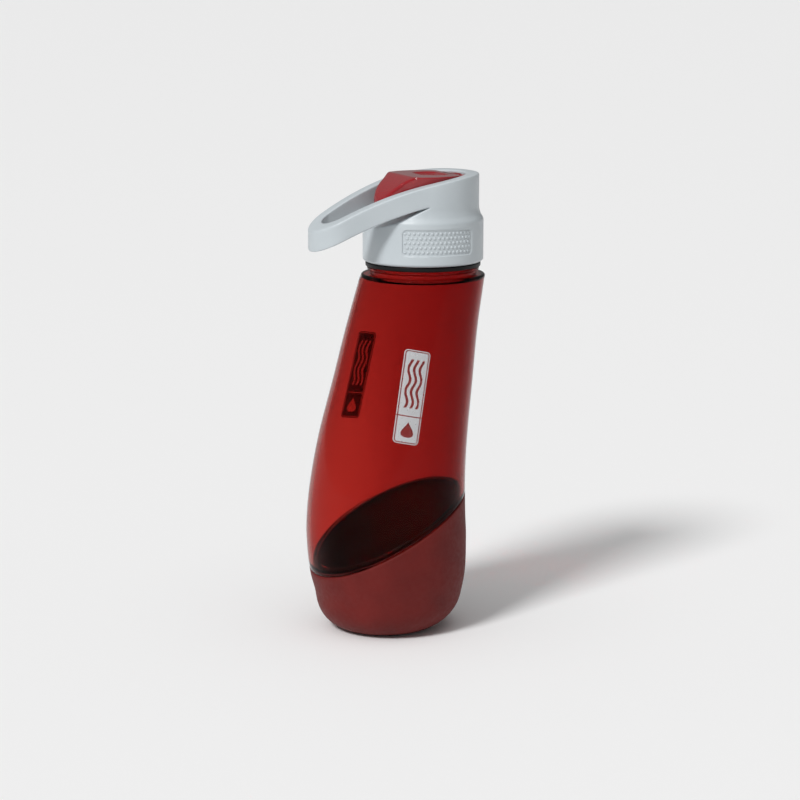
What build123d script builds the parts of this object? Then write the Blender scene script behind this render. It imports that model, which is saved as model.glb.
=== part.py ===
from build123d import *
import math
import os

os.makedirs("parts", exist_ok=True)

# Travel bottle whose base sits in a soft drinking bowl. Millimetres. The origin is the centre of the
# bowl's foot, +Z is up, and the XZ plane is the mirror plane: belly and carry loop towards -X.

# --- outer form shared by the bottle and the bowl: round sections that swell, lean and narrow ---
body_height = 200.0
body_radius = 45.0
foot_section_radius = 38.4
shoulder_step = 4.8     # shoulder outside the neck
neck_offset = 23.6
foot_rounding = 18.0
shoulder_rounding = 3.0
widest_share = 0.25
section_count = 16

# Shares of the way from the foot or the shoulder radius to the widest one, at shares of the height
swell_heights = [0.0, 0.09, 0.16, 0.25, 0.34, 0.45, 0.56, 0.70, 0.85, 1.0]
swell_shares = [0.0, 0.38, 0.82, 1.0, 0.955, 0.82, 0.67, 0.44, 0.205, 0.0]
# Share of the neck offset that the section centre has moved by
lean_shares = [0.0, 0.095, 0.08, 0.05, 0.045, 0.11, 0.24, 0.47, 0.71, 1.0]

# --- bowl ---
bowl_wall = 2.6
bowl_floor = 3.0
bowl_clearance = 0.35
rim_middle = 57.5
rim_slope = 0.53
rim_bow = 2.0
rim_gap = 0.5
nest_share = 0.6        # the nested forms are built up to this share of the height

# --- bottle wall and neck ---
body_wall = 2.2
body_floor = 2.4
shoulder_plate = 2.6
neck_radius = 29.8
neck_wall = 2.4
neck_height = 25.6
bead_step = 1.4         # bead outside the neck
bead_bottom = 2.2
bead_height = 2.0

# --- screw thread ---
thread_pitch = 4.5
thread_turns = 1.25
ridge_height = 1.4
ridge_root = 1.9
ridge_crest = 0.9
ridge_sink = 0.5
thread_start = 11.2
thread_clearance = 0.4

# --- ring on the neck and seal in the lid ---
ring_wall = 2.0
ring_height = 2.5
ring_clearance = 0.2
ring_rounding = 0.6
seal_height = 2.4
seal_overlap = 0.2
seal_margin = 0.8       # seal outside the neck
part_gap = 0.2

# --- lid: skirt, shoulder and collar, turned about the neck axis ---
skirt_gap = 0.4
skirt_wall = 1.9
skirt_height = 23.0
skirt_chamfer = 1.2
shoulder_height = 7.6
shoulder_sweep = 0.35   # inward lean of the shoulder's curve where it leaves the skirt
collar_step = 2.5       # collar inside the skirt
collar_wall = 7.6
well_plate = 2.6
core_depth = 3.0
flow_radius = 16.0
core_step = 1.4         # core pocket inside the collar's inner wall
seat_wall = 1.0

# --- carry loop: a band that leaves the collar on two tangents and closes round a nose ---
nose_distance = 48.7
nose_radius = 18.5
band_height = 11.5
loop_rise = 52.8        # top of the loop over the shoulder, at the neck axis
loop_slope = 0.187
loop_droop = 0.0031
slit_setback = 1.0      # slit starts ahead of where the band leaves the collar
slit_reach = 25.5
slit_height = 1.8
side_margin = 5.0       # the side view's lines run past the lid by this much

# --- grip panels sunk in the skirt ---
grip_angle = 98.0
grip_width = 43.0
grip_height = 14.7
grip_depth = 0.7
grip_corner = 3.0
grip_foot = 5.7

# --- spout insert, flip cap and hinge ---
insert_clearance = 0.3
insert_plate = 2.0
spout_radius = 8.5
spout_bore = 6.5
spout_height = 12.5
spout_rounding = 0.5
spout_shift = 7.0
hinge_inset = 3.9       # hinge axis inside the collar's inner wall
hinge_drop = 2.4
hinge_tongue = 12.0
hinge_side_gap = 0.4
hinge_swing_gap = 0.5
hinge_setback = 3.7
block_setback = 2.9
block_drop = 0.6
pin_radius = 1.0
pin_clearance = 0.05
pin_length = 22.0
pin_chamfer = 0.2
cap_clearance = 0.5
cap_lift = 0.4
cap_height = 18.5
cap_draft = 1.2         # the round cap is narrower at its foot, to swing clear of the loop
cap_wall = 2.0
cap_top = 2.2
lip_radius = 15.0
lip_reach = 5.6         # thumb lip ahead of the round cap
brow_top_setback = 9.7
brow_middle_reach = 0.4
brow_sag = 7.4
dish_length = 15.0
dish_width = 24.0
dish_depth = 1.0
dish_corner = 6.0
dish_shift = 4.0
plug_flange = 1.2
plug_depth = 3.0
plug_clearance = 0.4
plug_taper = 1.2
boss_radius = 6.0
vent_shift = 8.5
vent_head_radius = 2.4
vent_head_height = 1.2
vent_rounding = 0.6
vent_stem_radius = 1.25
vent_bulb_radius = 1.7
vent_bulb_height = 1.4

# --- printed labels ---
label_width = 13.6
label_height = 51.0
label_corner = 2.0
label_film = 0.15
label_x = -0.2
label_z = 137.7
label_lean = 11.0

# Levels and radii that follow from the values above
shoulder_radius = neck_radius + shoulder_step
neck_top = body_height + neck_height
bead_radius = neck_radius + bead_step
bead_top = body_height + bead_bottom + bead_height
skirt_bottom = bead_top + ring_height + skirt_gap
skirt_inner = neck_radius + ridge_height + thread_clearance
skirt_radius = skirt_inner + skirt_wall
skirt_top = skirt_bottom + skirt_height
collar_radius = skirt_radius - collar_step
seal_bottom = neck_top + part_gap
seal_radius = neck_radius + seal_margin
pocket_top = seal_bottom + seal_height + part_gap
well_floor = pocket_top + core_depth + well_plate
core_top = well_floor - well_plate
insert_top = well_floor + insert_plate
collar_inner = collar_radius - collar_wall
hinge_forward = collar_inner - hinge_inset
collar_base = skirt_top + shoulder_height
cap_radius = collar_inner - cap_clearance
lip_centre = cap_radius + lip_reach - lip_radius
cap_bottom = insert_top + cap_lift
cap_level = cap_bottom + cap_height
hinge_x = neck_offset + hinge_forward
hinge_z = cap_level - hinge_drop
spout_x = neck_offset - spout_shift
spout_top = insert_top + spout_height
tangent_sine = (collar_radius - nose_radius) / nose_distance
tangent_cosine = math.sqrt(1 - tangent_sine**2)
slit_x = -collar_radius * tangent_sine - slit_setback
far = 120.0


def smooth(share, knots, values):
    """Cubic curve through the knots, with the slope at each taken from its two neighbours."""
    last = len(knots) - 1
    slopes = []
    for i in range(last + 1):
        before, after = max(i - 1, 0), min(i + 1, last)
        slopes.append((values[after] - values[before]) / (knots[after] - knots[before]))
    i = max(j for j in range(last) if knots[j] <= share or j == 0)
    span = knots[i + 1] - knots[i]
    t = (share - knots[i]) / span
    rise = values[i + 1] - values[i]
    start, end = slopes[i] * span, slopes[i + 1] * span
    return values[i] + t * start + t * t * (3 * rise - 2 * start - end) + t**3 * (start + end - 2 * rise)


def section(height):
    """Radius and centre of the outer form at a height."""
    share = height / body_height
    end_radius = foot_section_radius if share < widest_share else shoulder_radius
    radius = end_radius + (body_radius - end_radius) * smooth(share, swell_heights, swell_shares)
    return radius, neck_offset * smooth(share, swell_heights, lean_shares)


def body_form(inset, floor, rounding, top=body_height, straight_from=body_height):
    """The outer form set in all round, cut flat at the floor with a rounded edge there.

    Above straight_from the sides run straight up, so that a form inside another can be lifted out.
    """
    with BuildPart() as form:
        for i in range(section_count + 1):
            height = top * i / section_count
            radius, centre = section(min(height, straight_from))
            with BuildSketch(Plane.XY.offset(height)):
                with Locations((centre, 0)):
                    Circle(radius - inset)
        loft()
        if floor > 0:
            split(bisect_by=Plane.XY.offset(floor), keep=Keep.TOP)
        fillet(form.edges().sort_by(Axis.Z)[0], rounding)
    return form.part


def rim_height(x):
    """Height of the bowl's oblique rim at a distance along X."""
    return rim_middle + rim_slope * x - rim_bow * (x / body_radius) ** 2


def above_rim(lift):
    """Everything above the rim surface raised by lift."""
    reach = body_radius + neck_offset
    low, middle, high = [(x, rim_height(x) + lift) for x in (-reach, 0, reach)]
    with BuildPart() as block:
        with BuildSketch(Plane.XZ):
            with BuildLine():
                ThreePointArc(low, middle, high)
                Polyline(high, (reach, body_height + far), (-reach, body_height + far), low)
            make_face()
        extrude(amount=reach, both=True)
    return block.part


def thread_ridge(radius, outward, start):
    """A helical ridge on a cylinder of the radius, its root sunk into the wall behind it."""
    with BuildPart() as ridge:
        with BuildLine(Plane((neck_offset, 0, start))) as path:
            Helix(pitch=thread_pitch, height=thread_pitch * thread_turns, radius=radius)
        with BuildSketch(Plane(origin=path.line @ 0, x_dir=(outward, 0, 0), z_dir=path.line % 0)):
            with BuildLine():
                Polyline(
                    (-ridge_sink, -ridge_root / 2),
                    (0, -ridge_root / 2),
                    (ridge_height, -ridge_crest / 2),
                    (ridge_height, ridge_crest / 2),
                    (0, ridge_root / 2),
                    (-ridge_sink, ridge_root / 2),
                    close=True,
                )
            make_face()
        sweep(path=path.line, is_frenet=True)
    return ridge.part


def loop_height(x):
    """Height of the loop's and collar's top edge at a distance from the neck axis along X."""
    return body_height + loop_rise + loop_slope * x - loop_droop * x * x


def loop_plan(inset):
    """Collar circle and nose circle, each smaller by inset, joined by their common tangents."""
    big, small = collar_radius - inset, nose_radius - inset
    nose_x = neck_offset - nose_distance
    with BuildSketch() as plan:
        with BuildLine():
            back = (neck_offset - big * tangent_sine, big * tangent_cosine)
            front = (nose_x - small * tangent_sine, small * tangent_cosine)
            ThreePointArc((back[0], -back[1]), (neck_offset + big, 0), back)
            Line(back, front)
            ThreePointArc(front, (nose_x - small, 0), (front[0], -front[1]))
            Line((front[0], -front[1]), (back[0], -back[1]))
        make_face()
    return plan.sketch


def loop_arc(drop, start, end):
    """Three points on the loop's top line, lowered by drop, at distances from the neck axis."""
    stops = (start, (start + end) / 2, end)
    return [(neck_offset + x, loop_height(x) - drop) for x in stops]


outer_form = body_form(0, 0, foot_rounding)

# ---------------------------------------------------------------- bowl
straight_from = widest_share * body_height
nest_top = nest_share * body_height
bowl_cavity = body_form(bowl_wall, bowl_floor, foot_rounding - bowl_wall, nest_top, straight_from)

with BuildPart() as bowl:
    add(outer_form)
    add(above_rim(0), mode=Mode.SUBTRACT)
    add(bowl_cavity, mode=Mode.SUBTRACT)
bowl.part.label = "bowl"
export_step(bowl.part, "parts/bowl.step")

# ---------------------------------------------------------------- bottle body
nest_inset = bowl_wall + bowl_clearance
nest_floor = bowl_floor + bowl_clearance
nest_form = body_form(nest_inset, nest_floor, foot_rounding - nest_inset, nest_top, straight_from)
hollow_inset = nest_inset + body_wall
hollow_floor = nest_floor + body_floor
hollow_round = foot_rounding - hollow_inset
low_hollow = body_form(hollow_inset, hollow_floor, hollow_round, nest_top, straight_from)
high_hollow = body_form(body_wall, 0, foot_rounding)
neck_place = Plane((neck_offset, 0, 0))

with BuildPart() as upper_hollow:
    add(high_hollow)
    add(above_rim(rim_gap + body_wall), mode=Mode.INTERSECT)
    split(bisect_by=Plane.XY.offset(body_height - shoulder_plate), keep=Keep.BOTTOM)

with BuildPart() as lower_nest:
    add(nest_form)
    add(above_rim(rim_gap + body_wall / 2), mode=Mode.SUBTRACT)

with BuildPart() as lower_hollow:
    add(low_hollow)
    add(above_rim(rim_gap + body_wall * 2), mode=Mode.SUBTRACT)

with BuildPart() as bottle_body:
    add(outer_form)
    add(above_rim(rim_gap), mode=Mode.INTERSECT)
    fillet(bottle_body.edges().sort_by(Axis.Z)[-1], shoulder_rounding)
    add(lower_nest.part)
    with BuildSketch(neck_place.offset(body_height - shoulder_plate)):
        Circle(neck_radius)
    extrude(amount=neck_height + shoulder_plate)
    with BuildSketch(neck_place.offset(body_height + bead_bottom)):
        Circle(bead_radius)
    extrude(amount=bead_height)
    add(thread_ridge(neck_radius, 1, body_height + thread_start))
    add(upper_hollow.part, mode=Mode.SUBTRACT)
    add(lower_hollow.part, mode=Mode.SUBTRACT)
    with BuildSketch(neck_place.offset(body_height - 2 * shoulder_plate)):
        Circle(neck_radius - neck_wall)
    extrude(amount=far, mode=Mode.SUBTRACT)
bottle_body.part.label = "bottle_body"
export_step(bottle_body.part, "parts/bottle_body.step")

# ---------------------------------------------------------------- ring on the neck
with BuildPart() as neck_ring:
    with BuildSketch(neck_place.offset(bead_top)):
        Circle(neck_radius + ring_clearance + ring_wall)
        Circle(neck_radius + ring_clearance, mode=Mode.SUBTRACT)
    extrude(amount=ring_height)
    fillet(neck_ring.edges().filter_by(GeomType.CIRCLE).group_by(SortBy.RADIUS)[-1], ring_rounding)
neck_ring.part.label = "neck_ring"
export_step(neck_ring.part, "parts/neck_ring.step")

# ---------------------------------------------------------------- printed labels
label_form = body_form(-label_film, 0, foot_rounding)
for name, side in (("near_label", -1), ("far_label", 1)):
    with BuildPart() as label:
        with BuildSketch(Plane.XZ.offset(-side * far / 2)):
            with Locations(Location((label_x, label_z, 0), (0, 0, -label_lean))):
                RectangleRounded(label_width, label_height, label_corner)
        extrude(amount=side * far / 2)
        add(label_form, mode=Mode.INTERSECT)
        add(outer_form, mode=Mode.SUBTRACT)
    label.part.label = name
    export_step(label.part, f"parts/{name}.step")

# ---------------------------------------------------------------- seal under the lid
with BuildPart() as lid_seal:
    with BuildSketch(neck_place.offset(seal_bottom)):
        Circle(seal_radius)
        Circle(neck_radius - neck_wall - seal_overlap, mode=Mode.SUBTRACT)
    extrude(amount=seal_height)
lid_seal.part.label = "lid_seal"
export_step(lid_seal.part, "parts/lid_seal.step")

# ---------------------------------------------------------------- lid shell with its carry loop
# The side view is cut by three lines: the top of collar and loop, the underside of the loop, and
# the slope below it that opens the slit from where the loop leaves the collar.
tip_x = -nose_distance - nose_radius - side_margin
collar_end = collar_radius + side_margin
top_line = loop_arc(0, tip_x, collar_end)
under_line = loop_arc(band_height, tip_x, collar_end)
ceiling = body_height + 2 * far

slope_drop = band_height + slit_height * (slit_x - tip_x) / slit_reach
slit_apex = (neck_offset + slit_x, loop_height(slit_x) - band_height)
slit_under = loop_arc(band_height, tip_x, slit_x)
slit_floor = (neck_offset + tip_x, loop_height(tip_x) - slope_drop)

with BuildPart() as above_top:
    with BuildSketch(Plane.XZ):
        with BuildLine():
            ThreePointArc(*top_line)
            Polyline(top_line[2], (top_line[2][0], ceiling), (top_line[0][0], ceiling), top_line[0])
        make_face()
    extrude(amount=far, both=True)

with BuildPart() as under_band:
    with BuildSketch(Plane.XZ):
        with BuildLine():
            ThreePointArc(*under_line)
            Polyline(under_line[2], (under_line[2][0], 0), (under_line[0][0], 0), under_line[0])
        make_face()
    extrude(amount=far, both=True)

with BuildPart() as slit:
    with BuildSketch(Plane.XZ):
        with BuildLine():
            ThreePointArc(*slit_under)
            Polyline(slit_apex, slit_floor, slit_under[0])
        make_face()
    extrude(amount=far, both=True)

with BuildPart() as band:
    with BuildSketch(Plane.XY.offset(skirt_bottom)):
        add(loop_plan(0))
        add(loop_plan(collar_wall), mode=Mode.SUBTRACT)
    extrude(amount=far)
    add(under_band.part, mode=Mode.SUBTRACT)

with BuildPart() as band_inside:
    with BuildSketch(Plane.XY.offset(well_floor)):
        add(loop_plan(collar_wall))
    extrude(amount=far)

with BuildPart() as front_slope:
    with BuildSketch(Plane.XZ):
        with BuildLine():
            Polyline(slit_apex, slit_floor, (slit_floor[0], ceiling), (slit_apex[0], ceiling), close=True)
        make_face()
    extrude(amount=far, both=True)

with BuildPart() as spout_seat:
    with BuildSketch(neck_place.offset(pocket_top)):
        Circle(collar_inner + seat_wall)
    extrude(amount=insert_top - insert_plate / 2 - pocket_top)

with BuildPart() as grip_ring:
    with BuildSketch(neck_place.offset(skirt_bottom)):
        Circle(2 * skirt_radius)
        Circle(skirt_radius - grip_depth, mode=Mode.SUBTRACT)
    extrude(amount=skirt_height)

grip_cuts = []
for side in (-1, 1):
    facing = Plane(
        origin=(neck_offset, 0, skirt_bottom + grip_foot + grip_height / 2),
        z_dir=(math.cos(math.radians(grip_angle)), side * math.sin(math.radians(grip_angle)), 0),
    )
    with BuildPart() as grip_cut:
        with BuildSketch(facing):
            RectangleRounded(grip_width, grip_height, grip_corner)
        extrude(amount=far)
        add(grip_ring.part, mode=Mode.INTERSECT)
    grip_cuts.append(grip_cut.part)

with BuildPart() as lid_shell:
    with BuildSketch(Plane.XZ):
        with BuildLine():
            Polyline(
                (neck_offset, skirt_bottom),
                (neck_offset + skirt_radius - skirt_chamfer, skirt_bottom),
                (neck_offset + skirt_radius, skirt_bottom + skirt_chamfer),
                (neck_offset + skirt_radius, skirt_top),
            )
            Spline(
                (neck_offset + skirt_radius, skirt_top),
                (neck_offset + collar_radius, collar_base),
                tangents=((-shoulder_sweep, 1), (0, 1)),
            )
            Polyline(
                (neck_offset + collar_radius, collar_base),
                (neck_offset + collar_radius, ceiling),
                (neck_offset, ceiling),
                (neck_offset, skirt_bottom),
            )
        make_face()
    revolve(axis=Axis((neck_offset, 0, 0), (0, 0, 1)))
    add(front_slope.part, mode=Mode.SUBTRACT)
    add(band_inside.part, mode=Mode.SUBTRACT)
    add(band.part)
    add(slit.part, mode=Mode.SUBTRACT)
    add(above_top.part, mode=Mode.SUBTRACT)
    add(spout_seat.part)
    with BuildSketch(neck_place.offset(well_floor)):
        Circle(collar_inner)
    extrude(amount=far, mode=Mode.SUBTRACT)
    with BuildSketch(neck_place.offset(skirt_bottom)):
        Circle(flow_radius)
    extrude(amount=far, mode=Mode.SUBTRACT)
    with BuildSketch(neck_place.offset(skirt_bottom)):
        Circle(collar_inner - core_step)
    extrude(amount=core_top - skirt_bottom, mode=Mode.SUBTRACT)
    with BuildSketch(neck_place.offset(skirt_bottom)):
        Circle(seal_radius + part_gap)
    extrude(amount=pocket_top - skirt_bottom, mode=Mode.SUBTRACT)
    with BuildSketch(neck_place.offset(skirt_bottom)):
        Circle(skirt_inner)
    extrude(amount=neck_top - skirt_bottom, mode=Mode.SUBTRACT)
    add(thread_ridge(skirt_inner, -1, body_height + thread_start - thread_pitch / 2))
    add(grip_cuts, mode=Mode.SUBTRACT)
lid_shell.part.label = "lid_shell"
export_step(lid_shell.part, "parts/lid_shell.step")

# ---------------------------------------------------------------- spout insert pressed into the well
insert_radius = collar_inner - insert_clearance
block_top = cap_level - block_drop
slot_half = hinge_tongue / 2 + hinge_side_gap
knuckle_radius = hinge_drop
swing_radius = knuckle_radius + hinge_swing_gap

with BuildPart() as spout_insert:
    with BuildSketch(neck_place.offset(well_floor)):
        Circle(insert_radius)
    extrude(amount=insert_plate)
    with BuildSketch(neck_place.offset(insert_top)):
        Circle(insert_radius)
        with Locations((hinge_forward - block_setback - far, 0)):
            Rectangle(2 * far, 2 * far, mode=Mode.SUBTRACT)
    extrude(amount=block_top - insert_top)
    with BuildSketch(Plane((spout_x, 0, insert_top))):
        Circle(spout_radius)
    extrude(amount=spout_height)
    fillet(spout_insert.edges().filter_by(GeomType.CIRCLE).group_by(Axis.Z)[-1], spout_rounding)
    with BuildSketch(Plane((spout_x, 0, well_floor))):
        Circle(spout_bore)
    extrude(amount=far, mode=Mode.SUBTRACT)
    with Locations((neck_offset + vent_shift, 0, well_floor + insert_plate / 2)):
        Cylinder(vent_stem_radius, insert_plate, mode=Mode.SUBTRACT)
    with Locations((hinge_x - swing_radius - block_setback, 0, hinge_z - swing_radius)):
        Box(
            far,
            2 * slot_half,
            far,
            align=(Align.MIN, Align.CENTER, Align.MIN),
            mode=Mode.SUBTRACT,
        )
    with Locations((hinge_x, 0, hinge_z)):
        Cylinder(pin_radius, pin_length, rotation=(90, 0, 0), mode=Mode.SUBTRACT)
spout_insert.part.label = "spout_insert"
export_step(spout_insert.part, "parts/spout_insert.step")

# ---------------------------------------------------------------- hinge pin
with BuildPart() as hinge_pin:
    with Locations((hinge_x, 0, hinge_z)):
        Cylinder(pin_radius, pin_length, rotation=(90, 0, 0))
    chamfer(hinge_pin.edges().filter_by(GeomType.CIRCLE), pin_chamfer)
hinge_pin.part.label = "hinge_pin"
export_step(hinge_pin.part, "parts/hinge_pin.step")

# ---------------------------------------------------------------- vent valve in the insert's plate
with BuildPart() as vent_valve:
    with Locations((neck_offset + vent_shift, 0, insert_top)):
        Cylinder(vent_head_radius, vent_head_height, align=(Align.CENTER, Align.CENTER, Align.MIN))
        Cylinder(vent_stem_radius, insert_plate, align=(Align.CENTER, Align.CENTER, Align.MAX))
    with Locations((neck_offset + vent_shift, 0, well_floor)):
        Cylinder(vent_bulb_radius, vent_bulb_height, align=(Align.CENTER, Align.CENTER, Align.MAX))
    fillet(vent_valve.edges().filter_by(GeomType.CIRCLE).group_by(Axis.Z)[-1], vent_rounding)
vent_valve.part.label = "vent_valve"
export_step(vent_valve.part, "parts/vent_valve.step")


# ---------------------------------------------------------------- flip cap
def cap_block(inset, height):
    """The cap's outer shape set in all round: a round cap, a lip under a bowed brow, a flat back."""
    brow = [
        (neck_offset - cap_radius + brow_top_setback + inset, cap_level),
        (neck_offset - cap_radius - brow_middle_reach + inset, cap_level - brow_sag),
        (neck_offset - lip_centre - lip_radius + inset, cap_bottom),
    ]
    ahead = neck_offset - lip_centre - lip_radius - far
    with BuildPart() as block:
        with BuildSketch(neck_place.offset(cap_bottom)):
            Circle(cap_radius - cap_draft - inset)
        with BuildSketch(neck_place.offset(cap_bottom + height)):
            Circle(cap_radius - cap_draft * (1 - height / cap_height) - inset)
        loft()
        with BuildSketch(neck_place.offset(cap_bottom)):
            with Locations((-lip_centre, 0)):
                Circle(lip_radius - inset)
        extrude(amount=height)
        with BuildSketch(neck_place.offset(cap_bottom)):
            with Locations((hinge_forward - hinge_setback - inset + far, 0)):
                Rectangle(2 * far, 2 * far)
        extrude(amount=height, mode=Mode.SUBTRACT)
        with BuildSketch(Plane.XZ):
            with BuildLine():
                ThreePointArc(*brow)
                Polyline(brow[2], (ahead, cap_bottom), (ahead, cap_level), brow[0])
            make_face()
        extrude(amount=far, both=True, mode=Mode.SUBTRACT)
    return block.part


with BuildPart() as flip_cap:
    add(cap_block(0, cap_height))
    add(cap_block(cap_wall, cap_height - cap_top), mode=Mode.SUBTRACT)
    with BuildSketch(Plane((spout_x, 0, spout_top + plug_flange))):
        Circle(boss_radius)
    extrude(amount=cap_level - cap_top - spout_top - plug_flange)
    tongue_start = hinge_forward - hinge_setback - cap_wall
    with Locations((neck_offset + tongue_start, 0, hinge_z - knuckle_radius)):
        Box(
            hinge_forward - tongue_start,
            hinge_tongue,
            2 * knuckle_radius,
            align=(Align.MIN, Align.CENTER, Align.MIN),
        )
    with Locations((hinge_x, 0, hinge_z)):
        Cylinder(knuckle_radius, hinge_tongue, rotation=(90, 0, 0))
        Cylinder(pin_radius + pin_clearance, 2 * hinge_tongue, rotation=(90, 0, 0), mode=Mode.SUBTRACT)
    with BuildSketch(Plane((neck_offset + dish_shift, 0, cap_level))):
        RectangleRounded(dish_length, dish_width, dish_corner)
    extrude(amount=-dish_depth, mode=Mode.SUBTRACT)
flip_cap.part.label = "flip_cap"
export_step(flip_cap.part, "parts/flip_cap.step")

# ---------------------------------------------------------------- plug that closes the spout
with BuildPart() as cap_plug:
    with BuildSketch(Plane((spout_x, 0, spout_top))):
        Circle(spout_radius)
    extrude(amount=plug_flange)
    with BuildSketch(Plane((spout_x, 0, spout_top))):
        Circle(spout_bore - plug_clearance)
    with BuildSketch(Plane((spout_x, 0, spout_top - plug_depth))):
        Circle(spout_bore - plug_clearance - plug_taper)
    loft()
cap_plug.part.label = "cap_plug"
export_step(cap_plug.part, "parts/cap_plug.step")
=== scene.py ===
import math

import bpy
import numpy as np
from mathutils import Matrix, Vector


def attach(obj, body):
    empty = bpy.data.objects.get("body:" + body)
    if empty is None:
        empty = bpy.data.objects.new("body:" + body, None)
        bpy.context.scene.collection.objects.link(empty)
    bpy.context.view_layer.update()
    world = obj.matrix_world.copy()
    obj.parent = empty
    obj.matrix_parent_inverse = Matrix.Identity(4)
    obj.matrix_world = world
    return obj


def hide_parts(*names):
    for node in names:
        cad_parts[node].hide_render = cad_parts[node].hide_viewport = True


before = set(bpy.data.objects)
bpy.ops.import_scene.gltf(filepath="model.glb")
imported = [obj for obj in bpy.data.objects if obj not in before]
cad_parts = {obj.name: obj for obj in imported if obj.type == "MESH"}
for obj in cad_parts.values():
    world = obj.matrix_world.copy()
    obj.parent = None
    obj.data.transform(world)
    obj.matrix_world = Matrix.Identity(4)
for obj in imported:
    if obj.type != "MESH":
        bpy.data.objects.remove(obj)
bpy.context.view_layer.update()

# A travel bottle whose base sits in a soft drinking bowl. Sizes are in millimetres and turned to
# metres as the mesh is made. +Z is up, the belly and the carry loop point to -X.
MM = 0.001

# --- outer form, as the frame has it ---
body_height = 200.0
body_radius = 45.0
foot_radius = 38.4
shoulder_radius = 34.6
neck_offset = 23.6
foot_rounding = 18.0
shoulder_rounding = 3.0
widest_share = 0.25
swell_heights = [0.0, 0.09, 0.16, 0.25, 0.34, 0.45, 0.56, 0.70, 0.85, 1.0]
swell_shares = [0.0, 0.38, 0.82, 1.0, 0.955, 0.82, 0.67, 0.44, 0.205, 0.0]
lean_shares = [0.0, 0.095, 0.08, 0.05, 0.045, 0.11, 0.24, 0.47, 0.71, 1.0]

# --- bowl and bottle walls ---
rim_level, rim_slope, rim_bow = 57.5, 0.53, 2.0
bowl_lip = 0.9
bowl_wall = 2.6
bowl_floor = 3.0
nest_inset = 2.95
nest_floor = 3.35
body_wall = 2.2
body_floor = 2.4
shoulder_plate = 2.6
neck_radius = 29.8
neck_bore = 27.4
neck_top = 225.6
bead_radius = 31.2
bead_low, bead_high = 202.2, 204.2
rim_gap = 0.5
ledge_rounding = 0.5
ledge_edge_drop = 0.45

# --- thread ---
thread_pitch = 4.5
thread_turns = 1.25
thread_height = 1.4
neck_thread_start = 211.2
lid_thread_start = 208.95

# --- lid ---
skirt_low, skirt_high = 207.1, 230.1
skirt_radius = 33.5
skirt_bore = 31.6
skirt_chamfer_insets = [1.1, 0.6, 0.15]
skirt_chamfer_lifts = [0.0, 0.4, 0.85]
skirt_wall_start = 1.2
collar_base = 237.7
shoulder_bow = 1.9
shoulder_blend = (-0.25, 0.45)
collar_radius = 31.0
collar_wall = 7.6
collar_bore = 23.4
well_floor = 234.0
seat_top = 235.0
seat_radius = 24.4
flow_radius = 16.0
well_edge = 234.6
core_radius, core_high = 22.0, 231.4
pocket_radius, pocket_high = 30.8, 228.4
skirt_low_edge = 32.2
thread_clear = 222.0
deck_rounding, deck_inward = 0.9, 1.0
seat_ease, seat_dip = 0.15, 0.2
seat_flare = 0.5
loop_level, loop_gradient, loop_sag = 252.8, 0.187, 0.0031
nose_distance = 48.7
nose_radius = 18.5
band_height = 11.5
slit_x = -8.96
slit_gradient = 0.509
slit_top = 239.4
slit_hidden_drop, slit_hidden_run = 0.8, 3.0
band_hidden_low = 232.0
band_drop_start, band_drop_end = -0.3, 2.2
band_top_rounding, band_low_rounding = 1.0, 0.9
grip_angle = 98.0
grip_width = 43.0
grip_height = 14.7
grip_middle = 220.15
grip_depth = 0.7
grip_corner = 3.0
grip_wall = 0.6
stud_pitch, stud_rows, stud_columns = 2.55, 5, 16

# --- cap ---
cap_low, cap_high = 236.4, 254.9
cap_radius = 22.9
cap_draft = 1.2
cap_wall = 2.0
cap_ceiling = 2.2
cap_edge = 0.7
cap_foot_edge = 0.3
cap_fillet, cap_inner_fillet = 1.0, 0.8
brow_points = [(-13.2, 254.9), (-23.3, 247.5), (-28.5, 236.4)]
lip_radius = 15.0
lip_centre = 13.5
cap_back = 15.8
dish_length, dish_width, dish_corner, dish_depth, dish_x = 15.0, 24.0, 6.0, 1.0, 4.0
dish_slope, dish_lip = 1.6, 0.2
spout_x = -7.0
spout_top = 248.5
plug_flange = 1.2
boss_radius = 6.0
boss_low_overlap, boss_high_overlap = 0.1, 0.2
hinge_x, hinge_z = 19.5, 252.5
knuckle_radius = 2.4
tongue_width = 12.0
tongue_start, tongue_middle = 13.9, 17.0

# --- printed labels ---
label_width, label_height, label_corner, label_film_height = 13.6, 51.0, 2.0, 0.15
label_x, label_z, label_lean = -0.2, 137.7, 11.0
label_underside = 0.02


# --- paler tint of the bottle's foot, painted light that brightens the shaded inside of the bowl seen through the belly, and how far above the rim's slope it is full and gone ---
foot_painted_light_tint = (0.93, 0.36, 0.31)
foot_painted_light_full, foot_painted_light_none = 53.5, 56.5


# ---------------------------------------------------------------- curves
def smooth(share, knots, values):
    """Cubic through the knots; the slope at a knot is the chord between its two neighbours."""
    knots, values = np.asarray(knots), np.asarray(values)
    order = np.arange(len(knots))
    before, after = np.maximum(order - 1, 0), np.minimum(order + 1, len(knots) - 1)
    slopes = (values[after] - values[before]) / (knots[after] - knots[before])
    i = np.clip(np.searchsorted(knots, share, side="right") - 1, 0, len(knots) - 2)
    span = knots[i + 1] - knots[i]
    t = (share - knots[i]) / span
    rise = values[i + 1] - values[i]
    start, end = slopes[i] * span, slopes[i + 1] * span
    return values[i] + t * start + t * t * (3 * rise - 2 * start - end) + t**3 * (start + end - 2 * rise)


def ease(value, low, high):
    """0 below low, 1 above high, and a smooth S between them."""
    t = np.clip((value - low) / (high - low), 0, 1)
    return t * t * (3 - 2 * t)


def soft_min(a, b, width):
    """The smaller of two surfaces, with a fillet as wide as width where they cross."""
    gap = a - b
    return 0.5 * (a + b - np.sqrt(gap * gap + width * width))


def wall_radius(z):
    """Outer radius at a height: the end radius plus a share of the way to the widest one."""
    share = np.clip(z / body_height, 0, 1)
    end = np.where(share < widest_share, foot_radius, shoulder_radius)
    return end + (body_radius - end) * smooth(share, swell_heights, swell_shares)


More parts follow.
